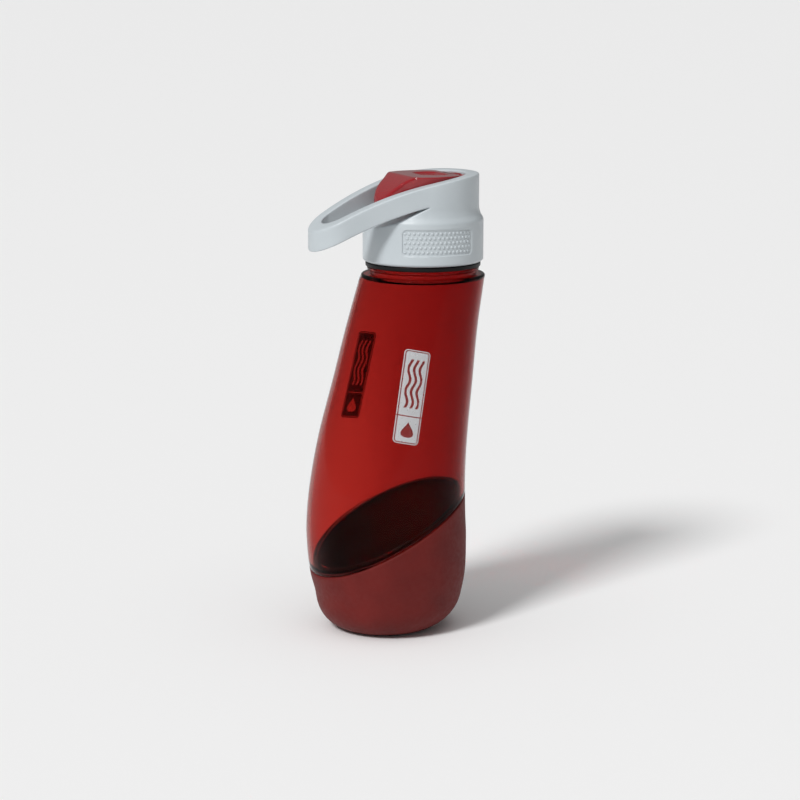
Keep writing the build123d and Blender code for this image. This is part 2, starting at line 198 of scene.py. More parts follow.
def wall_centre(z):
    """How far the section's centre has leant towards the neck at a height."""
    return neck_offset * smooth(np.clip(z / body_height, 0, 1), swell_heights, lean_shares)


def rim_height(x):
    """Height of the bowl's oblique rim at a distance along X: a slope with a slight bow."""
    return rim_level + rim_slope * x - rim_bow * (x / body_radius) ** 2


def rim_on_wall(angle, inset, lift, straight):
    """Height where the lifted rim surface meets the wall set in by inset, for each angle.

    The rim height at the wall's own x is put back in as the height, again and again until it rests.
    """
    z = np.full_like(angle, 57.0)
    for _ in range(40):
        level = np.minimum(z, straight)
        z = rim_height(wall_centre(level) + (wall_radius(level) - inset) * np.cos(angle)) + lift
    return z


def loop_height(x):
    """Height of the loop's and collar's top edge at a distance from the neck axis along X."""
    return loop_level + loop_gradient * x - loop_sag * x * x


# ---------------------------------------------------------------- meshes
def build_mesh(name, grid, ring=False, first_pole=False, last_pole=False, sharp=40.0, flat=None):
    """A closed mesh over a grid of points: columns go round, rows go along and may close as well.

    A pole row becomes one point with a fan. The signed volume tells which way the faces point.
    flat is the same grid laid out flat, kept as the piece's own UV map.
    """
    rows, columns, _ = grid.shape
    points = grid.reshape(-1, 3)
    index = np.arange(rows * columns).reshape(rows, columns)
    if first_pole:
        index[0] = index[0, 0]
    if last_pole:
        index[-1] = index[-1, 0]
    low, high = (index, np.roll(index, -1, axis=0)) if ring else (index[:-1], index[1:])
    quads = np.stack([low, np.roll(low, -1, 1), np.roll(high, -1, 1), high], axis=-1).reshape(-1, 4)
    flat_low, flat_high = quads[:, 0] == quads[:, 1], quads[:, 2] == quads[:, 3]
    triangles = np.concatenate([quads[flat_low][:, [0, 2, 3]], quads[flat_high][:, [0, 1, 2]]])
    quads = quads[~(flat_low | flat_high)]
    used, place = np.unique(np.concatenate([quads.ravel(), triangles.ravel()]), return_inverse=True)
    points = points[used]
    quads, triangles = place[: quads.size].reshape(-1, 4), place[quads.size :].reshape(-1, 3)
    halves = np.concatenate([quads[:, [0, 1, 2]], quads[:, [0, 2, 3]], triangles])
    a, b, c = (points[halves[:, k]] for k in range(3))
    if np.einsum("ij,ij->i", a, np.cross(b, c)).sum() < 0:
        quads, triangles = quads[:, ::-1], triangles[:, ::-1]
    mesh = bpy.data.meshes.new(name)
    mesh.from_pydata((points * MM).tolist(), [], quads.tolist() + triangles.tolist())
    mesh.polygons.foreach_set("use_smooth", np.ones(len(mesh.polygons), bool))
    mesh.set_sharp_from_angle(angle=math.radians(sharp))
    mesh.validate()
    mesh.update()
    if flat is not None:
        corner = np.zeros(len(mesh.loops), np.int32)
        mesh.loops.foreach_get("vertex_index", corner)
        layout = mesh.uv_layers.new(name="print")
        layout.data.foreach_set("uv", flat.reshape(-1, 2)[used][corner].ravel())
    piece = bpy.data.objects.new(name, mesh)
    bpy.context.scene.collection.objects.link(piece)
    return piece


def turned(radius, z, angle, centre=neck_offset):
    """Grid of a profile turned about an upright axis: radius and height per row, angle per column."""
    radius, z, centre = (np.asarray(v, float) for v in (radius, z, centre))
    radius, z, centre = (v[:, None] if v.ndim == 1 else v for v in (radius, z, centre))
    shape = np.broadcast_shapes(radius.shape, z.shape, (1, len(angle)))
    x = centre + radius * np.cos(angle)
    y = radius * np.sin(angle)
    return np.stack([np.broadcast_to(v, shape) for v in (x, y, z)], axis=-1)


def rounded(corners, radii, steps=5):
    """A profile through corners, each replaced by an arc of its own radius that meets both sides."""
    corners, radii = np.asarray(corners, float), np.asarray(radii, float)
    middle = corners[1:-1]
    back, ahead = corners[:-2] - middle, corners[2:] - middle
    back_length, ahead_length = np.linalg.norm(back, axis=1), np.linalg.norm(ahead, axis=1)
    back, ahead = back / back_length[:, None], ahead / ahead_length[:, None]
    half = 0.5 * np.arccos(np.clip((back * ahead).sum(1), -1, 1))
    reach = np.minimum(radii / np.tan(half), 0.45 * np.minimum(back_length, ahead_length))
    radius = reach * np.tan(half)
    bisector = (back + ahead) / np.linalg.norm(back + ahead, axis=1)[:, None]
    centre = middle + bisector * (radius / np.sin(half))[:, None]
    start, end = middle + back * reach[:, None] - centre, middle + ahead * reach[:, None] - centre
    sweep = math.pi - 2 * half
    t = np.linspace(0, 1, steps)[None, :, None]
    turn = sweep[:, None, None]
    arc = (np.sin((1 - t) * turn) * start[:, None] + np.sin(t * turn) * end[:, None]) / np.sin(turn)
    arcs = (centre[:, None] + arc).reshape(-1, 2)
    return np.concatenate([corners[:1], arcs, corners[-1:]])


def filled_in(profile, spacing):
    """The same profile with extra points, so that no stretch is longer than spacing."""
    length = np.concatenate([[0], np.cumsum(np.linalg.norm(np.diff(profile, axis=0), axis=1))])
    extra = np.arange(0, length[-1], spacing)
    near = np.abs(extra[:, None] - length[None]).min(1) > 0.3 * spacing
    along = np.sort(np.concatenate([length, extra[near]]))
    return np.stack([np.interp(along, length, profile[:, k]) for k in (0, 1)], axis=1)


def thread_rise(angle, z, start, phase=0.0):
    """How far the helical ridge stands out at an angle and height: a rounded trapezium in section."""
    turns = (angle + phase) / (2 * math.pi)
    rise = 0
    for lap in (0, 1, 2):
        along = turns + lap
        inside = ease(along, 0.0, 0.04) * (1 - ease(along, thread_turns - 0.04, thread_turns))
        off = np.abs(z - start - thread_pitch * along)
        rise = np.maximum(rise, thread_height * inside * (1 - ease(off, 0.45, 0.95)))
    return rise


# ---------------------------------------------------------------- bottle and bowl shells
round_angle = np.linspace(0, 2 * math.pi, 160, endpoint=False)


def foot_rows(inset, floor, rounding, steps=10):
    """Radii and heights of rows from the floor's middle to the top of the rounded foot edge."""
    spread = np.linspace(0, 1, 6)[:-1]
    turn = np.linspace(0, math.pi / 2, steps)
    height = floor + rounding * (1 - np.cos(turn))
    arc_radius = wall_radius(height) - inset - rounding * (1 - np.sin(turn))
    z = np.concatenate([np.full(len(spread), floor), height])
    radius = np.concatenate([spread * arc_radius[0], arc_radius])
    return np.maximum(radius, 0), z


def form_grid(radius, z):
    """Grid of round sections that lean with the bottle, from one radius and one height per row."""
    return turned(radius, z, round_angle, wall_centre(z))


def climb(low, high, count, inset, straight=body_height):
    """Rows up a wall from one height per angle to another, set in by inset."""
    t = np.linspace(0, 1, count)[:, None]
    z = low + t * (high - low)
    level = np.minimum(z, straight)
    return turned(wall_radius(level) - inset, z, round_angle, wall_centre(level))


def bowl_shell():
    """Outer foot, wall up to the oblique rim, a rolled lip, then the cavity back down to its floor."""
    straight = widest_share * body_height
    outer_r, outer_z = foot_rows(0.0, 0.0, foot_rounding)
    inner_r, inner_z = foot_rows(bowl_wall, bowl_floor, foot_rounding - bowl_wall)
    outer_top = rim_on_wall(round_angle, 0.0, -bowl_lip, body_height)
    inner_top = rim_on_wall(round_angle, bowl_wall, -bowl_lip, straight)
    outer = climb(np.full_like(round_angle, outer_z[-1]), outer_top, 28, 0.0)[1:]
    inner = climb(np.full_like(round_angle, inner_z[-1]), inner_top, 28, bowl_wall, straight)[1:]
    t = np.linspace(0, math.pi, 9)[1:-1, None, None]
    start, end = outer[-1][None], inner[-1][None]
    roll = (start + end) / 2 + (start - end) / 2 * np.cos(t)
    roll = roll + np.array([0, 0, bowl_lip]) * np.sin(t) ** 0.8
    grid = np.concatenate([
        form_grid(outer_r, outer_z), outer, roll, inner[::-1], form_grid(inner_r, inner_z)[::-1],
    ])
    return build_mesh("bowl_shell", grid, first_pole=True, last_pole=True)


def bottle_shell():
    """Nested foot, a ledge along the bowl's rim, the belly, shoulder and neck, then the inside back."""
    straight = widest_share * body_height
    deep_inset = nest_inset + body_wall
    nest_r, nest_z = foot_rows(nest_inset, nest_floor, foot_rounding - nest_inset)
    deep_r, deep_z = foot_rows(deep_inset, nest_floor + body_floor, foot_rounding - deep_inset)
    ledge_in = rim_on_wall(round_angle, nest_inset, rim_gap, straight)
    ledge_out = rim_on_wall(round_angle, 0.0, rim_gap + ledge_rounding, body_height)
    step_out = rim_on_wall(round_angle, body_wall, rim_gap + body_wall, body_height)
    step_in = rim_on_wall(round_angle, deep_inset, rim_gap + body_wall, straight)
    nest = climb(np.full_like(round_angle, nest_z[-1]), ledge_in, 24, nest_inset, straight)[1:]
    top = np.full_like(round_angle, body_height - shoulder_rounding)
    belly = climb(ledge_out, top, 70, 0.0)
    edge = climb(ledge_out - ledge_edge_drop, ledge_out, 1, ledge_rounding)
    ceiling = np.full_like(round_angle, body_height - shoulder_plate)
    inside = climb(step_out, ceiling, 70, body_wall)[::-1]
    deep = climb(np.full_like(round_angle, deep_z[-1]), step_in, 24, deep_inset, straight)[1:]
    neck = rounded(
        [
            (shoulder_radius, body_height - shoulder_rounding - 0.01),
            (shoulder_radius, body_height),
            (neck_radius, body_height),
            (neck_radius, bead_low),
            (bead_radius, bead_low),
            (bead_radius, bead_high),
            (neck_radius, bead_high),
            (neck_radius, neck_top),
            (neck_bore, neck_top),
            (neck_bore, body_height - shoulder_plate),
            (shoulder_radius - body_wall - 0.2, body_height - shoulder_plate),
        ],
        [shoulder_rounding, 0.5, 0.5, 0.7, 0.7, 0.4, 0.7, 0.7, 1.0],
        steps=6,
    )
    neck = filled_in(neck[1:-1], 0.45)
    radius, z = neck[:, :1], neck[:, 1:]
    outer = (z > bead_high + 1) & (np.abs(radius - neck_radius) < 0.01)
    radius = radius + outer * thread_rise(round_angle[None], z, neck_thread_start)
    grid = np.concatenate([
        form_grid(nest_r, nest_z), nest, edge, belly, turned(radius, z, round_angle),
        inside, deep[::-1], form_grid(deep_r, deep_z)[::-1],
    ])
    return build_mesh("bottle_shell", grid, first_pole=True, last_pole=True, sharp=50)


# ---------------------------------------------------------------- lid
def slope_height(x):
    """The slope that opens the slit in front of the collar; behind it the top hides in the band."""
    ahead = slit_top + slit_gradient * (x - slit_x)
    behind = slit_top - slit_hidden_drop * ease(x, slit_x, slit_x + slit_hidden_run)
    return np.where(x < slit_x, ahead, behind)


def skirt_profile(z):
    """Outer radius of skirt, shoulder and collar at a height: the shoulder is a soft S inwards."""
    t = np.clip((z - skirt_high) / (collar_base - skirt_high), 0, 1)
    drop = skirt_radius - collar_radius
    return skirt_radius - drop * (1 - (1 - t) ** shoulder_bow) * ease(t, *shoulder_blend)


def grip_recess(angle, z):
    """How deep the skirt is sunk: full inside a rounded panel on each side, with soft walls."""
    depth = 0
    for side in (-1, 1):
        away = (angle - side * math.radians(grip_angle) + math.pi) % (2 * math.pi) - math.pi
        across = np.abs(skirt_radius * away) - grip_width / 2 + grip_corner
        up = np.abs(z - grip_middle) - grip_height / 2 + grip_corner
        out = np.hypot(np.maximum(across, 0), np.maximum(up, 0)) + np.minimum(np.maximum(across, up), 0)
        depth = np.maximum(depth, grip_depth * (1 - ease(out - grip_corner, -grip_wall, 0.0)))
    return depth


def lid_base():
    """Skirt, shoulder and the collar's foot, turned about the neck, with the front cut to a slope.

    Rows up the outside are shared out between the skirt's bottom edge and the height where each
    angle meets the slope, so that none of them fall together.
    """
    angle = np.linspace(0, 2 * math.pi, 420, endpoint=False)[None]
    level = np.zeros_like(angle)
    top = level + seat_top
    for _ in range(60):
        top = 0.5 * top + 0.5 * slope_height(skirt_profile(top) * np.cos(angle))
    low = skirt_low + skirt_wall_start
    t = np.linspace(0, 1, 60)[:, None]
    z = low + t * (top - deck_rounding - low)
    radius = skirt_profile(z) - grip_recess(angle, z)
    chamfer_r = skirt_radius - np.array(skirt_chamfer_insets)[:, None] + level
    chamfer_z = skirt_low + np.array(skirt_chamfer_lifts)[:, None] + level
    rim = skirt_profile(top)
    deck_start = rim - deck_inward
    flat = slope_height(deck_start * np.cos(angle))
    t = np.linspace(0, 1, 6)[1:, None]
    before, at, past = (1 - t) ** 2, 2 * t * (1 - t), t * t
    edge_r = before * skirt_profile(top - deck_rounding) + at * rim + past * deck_start
    edge_z = before * (top - deck_rounding) + at * top + past * flat
    t = np.linspace(0, 1, 12)[1:, None]
    deck_r = deck_start + t * (seat_radius + 2 * seat_ease - deck_start)
    deck_z = slope_height(deck_r * np.cos(angle))
    seat_r = np.array([seat_radius, seat_radius - seat_ease, collar_bore + seat_ease, collar_bore])
    seat_r = seat_r[:, None] + level
    seat_floor = seat_top - np.array([seat_dip, 0, 0, seat_dip])[:, None]
    seat_z = np.maximum(slope_height(seat_r * np.cos(angle)), seat_floor)
    seat_r = seat_r + seat_flare * ease(seat_z, seat_top + 0.6, seat_top + 1.4)
    under = rounded(
        [
            (collar_bore, well_edge),
            (collar_bore, well_floor),
            (flow_radius, well_floor),
            (flow_radius, core_high),
            (core_radius, core_high),
            (core_radius, pocket_high),
            (pocket_radius, pocket_high),
            (pocket_radius, neck_top),
            (skirt_bore, neck_top),
            (skirt_bore, skirt_low),
            (skirt_low_edge, skirt_low),
        ],
        [0.2, 0.5, 0.5, 0.3, 0.5, 0.3, 0.2, 0.2, 0.25],
        steps=4,
    )
    under = filled_in(under, 0.6)
    under_r, under_z = under[:, :1], under[:, 1:]
    threaded = (under_z < thread_clear) & (np.abs(under_r - skirt_bore) < 0.01)
    under_r = under_r - threaded * thread_rise(angle, under_z, lid_thread_start)
    radius = np.concatenate([chamfer_r, radius, edge_r, deck_r, seat_r, under_r + level])
    z = np.concatenate([chamfer_z, z, edge_z, deck_z, seat_z, under_z + level])
    return build_mesh("lid_base", turned(radius, z, angle[0]), ring=True, sharp=40)


def grip_studs():
    """Raised domes in staggered rows over both grip panels, one flat-based dome repeated.

    Every second row is half a pitch further round. A dome is four rings, the last one closed up.
    """
    across, up = np.meshgrid(np.arange(stud_columns), np.arange(stud_rows))
    s = (across - (stud_columns - 1) / 2 + 0.5 * (up % 2) - 0.25) * stud_pitch
    z = grip_middle + (up - (stud_rows - 1) / 2) * stud_pitch
    s, z = s.ravel(), z.ravel()
    side = np.concatenate([np.full(s.size, -1.0), np.full(s.size, 1.0)])
    s, z = np.tile(s, 2), np.tile(z, 2)
    azimuth = side * math.radians(grip_angle) + s / skirt_radius
    ring = np.linspace(0, 2 * math.pi, 8, endpoint=False)
    rise = np.array([-0.35, 0.12, 0.38, 0.46])
    wide = np.array([0.98, 0.90, 0.52, 0.0])
    u = (wide[:, None] * np.cos(ring)).ravel()
    v = (wide[:, None] * np.sin(ring)).ravel()
    h = np.repeat(rise, ring.size)
    base = skirt_radius - grip_depth
    a = azimuth[:, None] + u[None] / base
    r = base + h[None]
    points = np.stack([neck_offset + r * np.cos(a), r * np.sin(a), z[:, None] + v[None] + 0 * a], -1)
    size = ring.size
    index = np.arange(h.size).reshape(-1, size)
    after = np.roll(index, -1, 1)
    quads = np.stack([index[:-1], after[:-1], after[1:], index[1:]], -1)
    offsets = (np.arange(len(azimuth)) * h.size)[:, None, None]
    faces = (quads.reshape(1, -1, 4) + offsets).reshape(-1, 4).tolist()
    faces += (index[:1, ::-1][None] + offsets).reshape(-1, size).tolist()
    mesh = bpy.data.meshes.new("grip_studs")
    mesh.from_pydata((points.reshape(-1, 3) * MM).tolist(), [], faces)
    mesh.polygons.foreach_set("use_smooth", np.ones(len(mesh.polygons), bool))
    mesh.update()
    piece = bpy.data.objects.new("grip_studs", mesh)
    bpy.context.scene.collection.objects.link(piece)
    return piece


def loop_path(count_back, count_side, count_nose):
    """Racetrack round the collar and the loop's nose, counterclockwise: points and outward normals."""
    lean = math.asin((collar_radius - nose_radius) / nose_distance)
    open_angle = math.pi / 2 + lean
    back = np.linspace(-open_angle, open_angle, count_back)
    nose = np.linspace(open_angle, 2 * math.pi - open_angle, count_nose)
    normal_back = np.stack([np.cos(back), np.sin(back)], 1)
    normal_nose = np.stack([np.cos(nose), np.sin(nose)], 1)
    point_back = collar_radius * normal_back
    point_nose = np.array([-nose_distance, 0]) + nose_radius * normal_nose
    t = np.linspace(0, 1, count_side)[1:-1, None]
    side = point_back[-1] + t * (point_nose[0] - point_back[-1])
    home = point_nose[-1] + t * (point_back[0] - point_nose[-1])
    point = np.concatenate([point_back, side, point_nose, home])
    normal = np.concatenate([
        normal_back, np.repeat(normal_back[-1:], len(side), 0), normal_nose,
        np.repeat(normal_nose[-1:], len(home), 0),
    ])
    return point, normal


def carry_band():
    """A rounded rectangle carried round the racetrack between the loop's top line and its underside.

    Behind the slit's end the underside drops into the lid's shoulder, so that the two are one wall.
    """
    point, normal = loop_path(120, 46, 40)
    turn = np.linspace(0, math.pi / 2, 6)
    side = np.linspace(0, 1, 9)[1:-1]
    rising, falling = 1 - np.cos(turn), 1 - np.sin(turn)
    corner, wall = 0 * turn, 0 * side
    soft, tight = band_top_rounding, band_low_rounding
    inset = np.concatenate([
        soft * falling, wall, tight * rising,
        collar_wall - tight * falling, collar_wall + wall, collar_wall - soft * rising,
    ])
    from_top = np.concatenate([soft * rising, soft + wall, corner, corner, soft + wall, soft * falling])
    from_low = np.concatenate([corner, tight + wall, tight * falling, tight * rising, tight + wall, corner])
    down = np.concatenate([corner, side, 1 + corner, 1 + corner, 1 - side, corner])
    xy = point[:, None] - normal[:, None] * inset[None, :, None]
    x = xy[..., 0]
    top = loop_height(x)
    under = top - band_height
    low = under + (band_hidden_low - under) * ease(x, slit_x + band_drop_start, slit_x + band_drop_end)
    z = (top - from_top) * (1 - down) + (low + from_low) * down
    grid = np.stack([x + neck_offset, xy[..., 1], z], -1)
    return build_mesh("carry_band", grid, ring=True, sharp=60)


# ---------------------------------------------------------------- flip cap
def brow_x(z):
    """The cap's bowed front: the parabola through a point at its top, its middle and its foot."""
    (top_x, top), (middle_x, middle), (foot_x, foot) = brow_points
    top_share = (z - middle) * (z - foot) / ((top - middle) * (top - foot))
    middle_share = (z - top) * (z - foot) / ((middle - top) * (middle - foot))
    foot_share = (z - top) * (z - middle) / ((foot - top) * (foot - middle))
    return top_x * top_share + middle_x * middle_share + foot_x * foot_share


def cap_reach(angle, z, inset, fillet):
    """Distance from the neck axis to the cap's side: a round cap and lip, cut by brow and flat back."""
    cos, sin = np.cos(angle), np.sin(angle)
    round_radius = cap_radius - cap_draft * (cap_high - z) / (cap_high - cap_low) - inset
    lip = lip_radius - inset
    under = np.maximum(lip**2 - (lip_centre * sin) ** 2, 0)
    lip_reach = np.where(cos < 0, -lip_centre * cos + np.sqrt(under), 0)
    reach = -soft_min(-round_radius + 0 * angle, -lip_reach, fillet)
    flat = (cap_back - inset) / np.maximum(cos, 0.05)
    reach = soft_min(reach, flat, fillet)
    brow = (-brow_x(z) - inset) / np.maximum(-cos, 0.05)
    return soft_min(reach, brow, fillet)


def dish(x, y):
    """Depth of the shallow rounded dish in the cap's top."""
    across = np.abs(x - dish_x) - dish_length / 2 + dish_corner
    up = np.abs(y) - dish_width / 2 + dish_corner
    out = np.hypot(np.maximum(across, 0), np.maximum(up, 0)) + np.minimum(np.maximum(across, up), 0)
    return dish_depth * (1 - ease(out - dish_corner, -dish_slope, dish_lip))


def cap_shell():
    """Inner ceiling, inner side, foot, outer side and dished top, each a row of reach by angle."""
    angle = np.linspace(0, 2 * math.pi, 240, endpoint=False)[None]
    share = np.linspace(0, 1, 9)[:-1, None]
    inner_top = cap_high - cap_ceiling
    soft, step = cap_edge, cap_foot_edge

    def inside(z, shrink=0.0):
        return cap_reach(angle, z, cap_wall, cap_inner_fillet) - shrink

    def outside(z, shrink=0.0):
        return cap_reach(angle, z, 0, cap_fillet) - shrink

    turn = np.linspace(0, math.pi / 2, 5)[:, None]
    inner_edge_z = inner_top - soft * (1 - np.cos(turn))
    inner_edge = inside(inner_edge_z, soft * (1 - np.sin(turn)))
    inner_face = share * inner_edge[:1]
    inner_z = np.linspace(inner_top - soft, cap_low + step, 26)[1:, None]
    foot_z = np.array([cap_low, cap_low, cap_low + step])[:, None]
    foot = np.concatenate([inside(foot_z[:1], -step), outside(foot_z[1:2], step), outside(foot_z[2:])])
    outer_z = np.linspace(cap_low + step, cap_high - soft, 40)[1:, None]
    outer_edge_z = cap_high - soft * (1 - np.sin(turn))[1:]
    outer_edge = outside(outer_edge_z, soft * (1 - np.cos(turn))[1:])
    share = np.linspace(1, 0, 34)[1:, None]
    top_face = share * outer_edge[-1:]
    radius = np.concatenate([
        inner_face, inner_edge, inside(inner_z), foot, outside(outer_z), outer_edge, top_face,
    ])
    level = 0 * angle
    z = np.concatenate([
        inner_top + 0 * inner_face, inner_edge_z + level, inner_z + level, foot_z + level,
        outer_z + level, outer_edge_z + level, cap_high + 0 * top_face,
    ])
    x, y = radius * np.cos(angle), radius * np.sin(angle)
    top_rows = np.zeros((len(radius), 1))
    top_rows[-len(top_face) - 2 :] = 1
    z = z - top_rows * dish(x, y)
    grid = np.stack([x + neck_offset, y, z], -1)
    return build_mesh("cap_shell", grid, first_pole=True, last_pole=True, sharp=45)


def cap_knuckle():
    """Tongue and knuckle at the back of the cap: a slot-shaped outline carried across, edges eased."""
    turn = np.linspace(-math.pi / 2, math.pi / 2, 24)
    low, high = hinge_z - knuckle_radius, hinge_z + knuckle_radius
    x = np.concatenate([hinge_x + knuckle_radius * np.cos(turn), [tongue_start, tongue_start]])
    z = np.concatenate([hinge_z + knuckle_radius * np.sin(turn), [high, low]])
    middle = np.array([tongue_middle, hinge_z])
    half = tongue_width / 2
    y = np.array([-half, -half, -half + 0.1, -half + 0.4, half - 0.4, half - 0.1, half, half])
    shrink = np.array([1.0, 0.18, 0.06, 0, 0, 0.06, 0.18, 1.0])
    away = np.stack([x, z], -1) - middle
    flat = middle + away[None] * (1 - shrink[:, None, None])
    grid = np.stack([flat[..., 0] + neck_offset, np.repeat(y[:, None], len(x), 1), flat[..., 1]], -1)
    return build_mesh("cap_knuckle", grid, first_pole=True, last_pole=True, sharp=35)


def cap_boss():
    """The round boss under the cap's top that carries the plug."""
    low = spout_top + plug_flange - boss_low_overlap
    high = cap_high - cap_ceiling + boss_high_overlap
    corners = [(0.01, low), (boss_radius, low), (boss_radius, high), (0.01, high)]
    profile = rounded(corners, [0.5, 0.3], steps=5)
    angle = np.linspace(0, 2 * math.pi, 64, endpoint=False)
    grid = turned(profile[:, 0], profile[:, 1], angle, neck_offset + spout_x)
    return build_mesh("cap_boss", grid, first_pole=True, last_pole=True)


# ---------------------------------------------------------------- printed labels
def label_film(name, side):
    """A rounded rectangle leaning in the side view, laid on the belly's wall as a thin closed film.

    Rings are the rounded rectangle shrunk to its middle; y is what is left of the wall's radius.
    """
    corner_turn = np.linspace(0, math.pi / 2, 9)
    quarter = np.stack([np.cos(corner_turn), np.sin(corner_turn)], 1) * label_corner
    half = np.array([label_width, label_height]) / 2 - label_corner
    edge = np.concatenate([
        half + quarter,
        half * (-1, 1) + quarter[::-1] * (-1, 1),
        -half - quarter,
        half * (1, -1) + quarter[::-1] * (1, -1),
    ])
    length = np.concatenate([[0], np.cumsum(np.linalg.norm(np.diff(edge, axis=0), axis=1))])
    along = np.linspace(0, length[-1], 180, endpoint=True)
    edge = np.stack([np.interp(along, length, edge[:, k]) for k in (0, 1)], 1)
    share = np.linspace(0, 1, 24)[:, None, None]
    sheet = share * edge[None]
    plane = np.concatenate([sheet, sheet[::-1]])
    lift = np.repeat([label_film_height, label_underside], len(sheet))[:, None]
    lean = math.radians(label_lean)
    x = label_x + plane[..., 0] * math.cos(lean) + plane[..., 1] * math.sin(lean)
    z = label_z - plane[..., 0] * math.sin(lean) + plane[..., 1] * math.cos(lean)
    y = side * np.sqrt((wall_radius(z) + lift) ** 2 - (x - wall_centre(z)) ** 2)
    flat = plane / np.array([label_width, label_height]) + 0.5
    grid = np.stack([x, y, z], -1)
    return build_mesh(name, grid, first_pole=True, last_pole=True, sharp=30, flat=flat)


# ---------------------------------------------------------------- materials
def new_material(name, color, roughness, **settings):
    """One Principled shader; settings that are the same all over sit on its own sockets."""
    material = bpy.data.materials.new(name)
    material.use_nodes = True
    shader = material.node_tree.nodes["Principled BSDF"]
    shader.inputs["Base Color"].default_value = (*color, 1)
    shader.inputs["Roughness"].default_value = roughness
    for socket, value in settings.items():
        shader.inputs[socket.replace("_", " ")].default_value = value
    return material, material.node_tree, shader


def noise(tree, scale, detail=4.0, stretch=(1, 1, 1)):
    """Noise on Object coordinates, with scale in cycles per metre."""
    place = tree.nodes.new("ShaderNodeTexCoord")
    mapping = tree.nodes.new("ShaderNodeMapping")
    mapping.inputs["Scale"].default_value = stretch
    texture = tree.nodes.new("ShaderNodeTexNoise")
    texture.inputs["Scale"].default_value = scale
    texture.inputs["Detail"].default_value = detail
    tree.links.new(place.outputs["Object"], mapping.inputs["Vector"])
    tree.links.new(mapping.outputs["Vector"], texture.inputs["Vector"])
    return texture.outputs["Fac"]


def object_axis(tree, axis):
    """One Object coordinate, in metres."""
    place = tree.nodes.new("ShaderNodeTexCoord")
    split = tree.nodes.new("ShaderNodeSeparateXYZ")
    tree.links.new(place.outputs["Object"], split.inputs["Vector"])
    return split.outputs[axis]


def color_between(tree, factor, low, high, start=0.3, end=0.7):
    """A ramp from one colour to another over the middle of the factor's range."""
    ramp = tree.nodes.new("ShaderNodeValToRGB")
    ramp.color_ramp.elements[0].position, ramp.color_ramp.elements[1].position = start, end
    ramp.color_ramp.elements[0].color, ramp.color_ramp.elements[1].color = (*low, 1), (*high, 1)
    tree.links.new(factor, ramp.inputs["Fac"])
    return ramp.outputs["Color"]


def value_between(tree, factor, low, high, start=0.3, end=0.7):
    """The factor's middle range spread over low to high."""
    spread = tree.nodes.new("ShaderNodeMapRange")
    for socket, value in zip(("From Min", "From Max", "To Min", "To Max"), (start, end, low, high)):
        spread.inputs[socket].default_value = value
    tree.links.new(factor, spread.inputs["Value"])
    return spread.outputs["Result"]


def grain(tree, shader, factor, strength, distance):
    """A fine bump from the factor; distance is the relief's height in metres."""
    bump = tree.nodes.new("ShaderNodeBump")
    bump.inputs["Strength"].default_value = strength
    bump.inputs["Distance"].default_value = distance
    tree.links.new(factor, bump.inputs["Height"])
    tree.links.new(bump.outputs["Normal"], shader.inputs["Normal"])


def scaled_sum(tree, value, factor, addend):
    """The value times a number, plus the addend."""
    node = tree.nodes.new("ShaderNodeMath")
    node.operation = "MULTIPLY_ADD"
    node.inputs[1].default_value = factor
    tree.links.new(value, node.inputs[0])
    tree.links.new(addend, node.inputs[2])
    return node.outputs[0]


def tinted_plastic(name, light, dark, roughness, weight, index, body_tint, density):
    """Clear moulded plastic: flow streaks in a tint that grows paler towards -X, painted light for light
    shining through the belly, and a paler foot.

    Below a slope that runs with the bowl's rim, the tint turns into the foot's paler one, painted light that
    brightens the shaded inside of the bowl seen through the belly.
    """
    material, tree, shader = new_material(name, light, roughness, Transmission_Weight=weight, IOR=index)
    streaks = noise(tree, 30.0, 3.0, (1, 1, 0.25))
    across = object_axis(tree, "X")
    # painted light: the tint grows paler towards -X, standing in for light shining through the belly
    painted_belly_light = value_between(tree, across, 0.85, 0.0, -0.045, 0.025)
    tint = color_between(tree, scaled_sum(tree, streaks, 0.3, painted_belly_light), dark, light, 0.1, 0.95)
    above_rim = scaled_sum(tree, across, -rim_slope, object_axis(tree, "Z"))
    # painted light: below the rim's slope a paler tint brightens the shaded inside of the bowl seen through
    # the belly
    foot_painted_light_share = value_between(tree, above_rim, 1.0, 0.0, foot_painted_light_full * MM, foot_painted_light_none * MM)
    blend = tree.nodes.new("ShaderNodeMix")
    blend.data_type = "RGBA"
    blend.inputs["B"].default_value = (*foot_painted_light_tint, 1)
    tree.links.new(foot_painted_light_share, blend.inputs["Factor"])
    tree.links.new(tint, blend.inputs["A"])
    tree.links.new(blend.outputs["Result"], shader.inputs["Base Color"])
    haze = noise(tree, 140.0, 5.0)
    tree.links.new(value_between(tree, haze, roughness * 0.7, roughness * 1.5), shader.inputs["Roughness"])
    depth = tree.nodes.new("ShaderNodeVolumeAbsorption")
    depth.inputs["Color"].default_value = (*body_tint, 1)
    depth.inputs["Density"].default_value = density
    tree.links.new(depth.outputs["Volume"], tree.nodes["Material Output"].inputs["Volume"])
    return material


def moulded_plastic(name, light, dark, roughness):
    """Satin moulded plastic: a fine spark-eroded grain, slight mottling and worn gloss."""
    material, tree, shader = new_material(name, light, roughness, Specular_IOR_Level=0.5)
    tree.links.new(color_between(tree, noise(tree, 45.0, 4.0), dark, light), shader.inputs["Base Color"])
    tree.links.new(value_between(tree, noise(tree, 260.0, 4.0), roughness * 0.85, roughness * 1.2),
                   shader.inputs["Roughness"])
    grain(tree, shader, noise(tree, 2600.0, 3.0), 0.25, 0.00006)
    return material


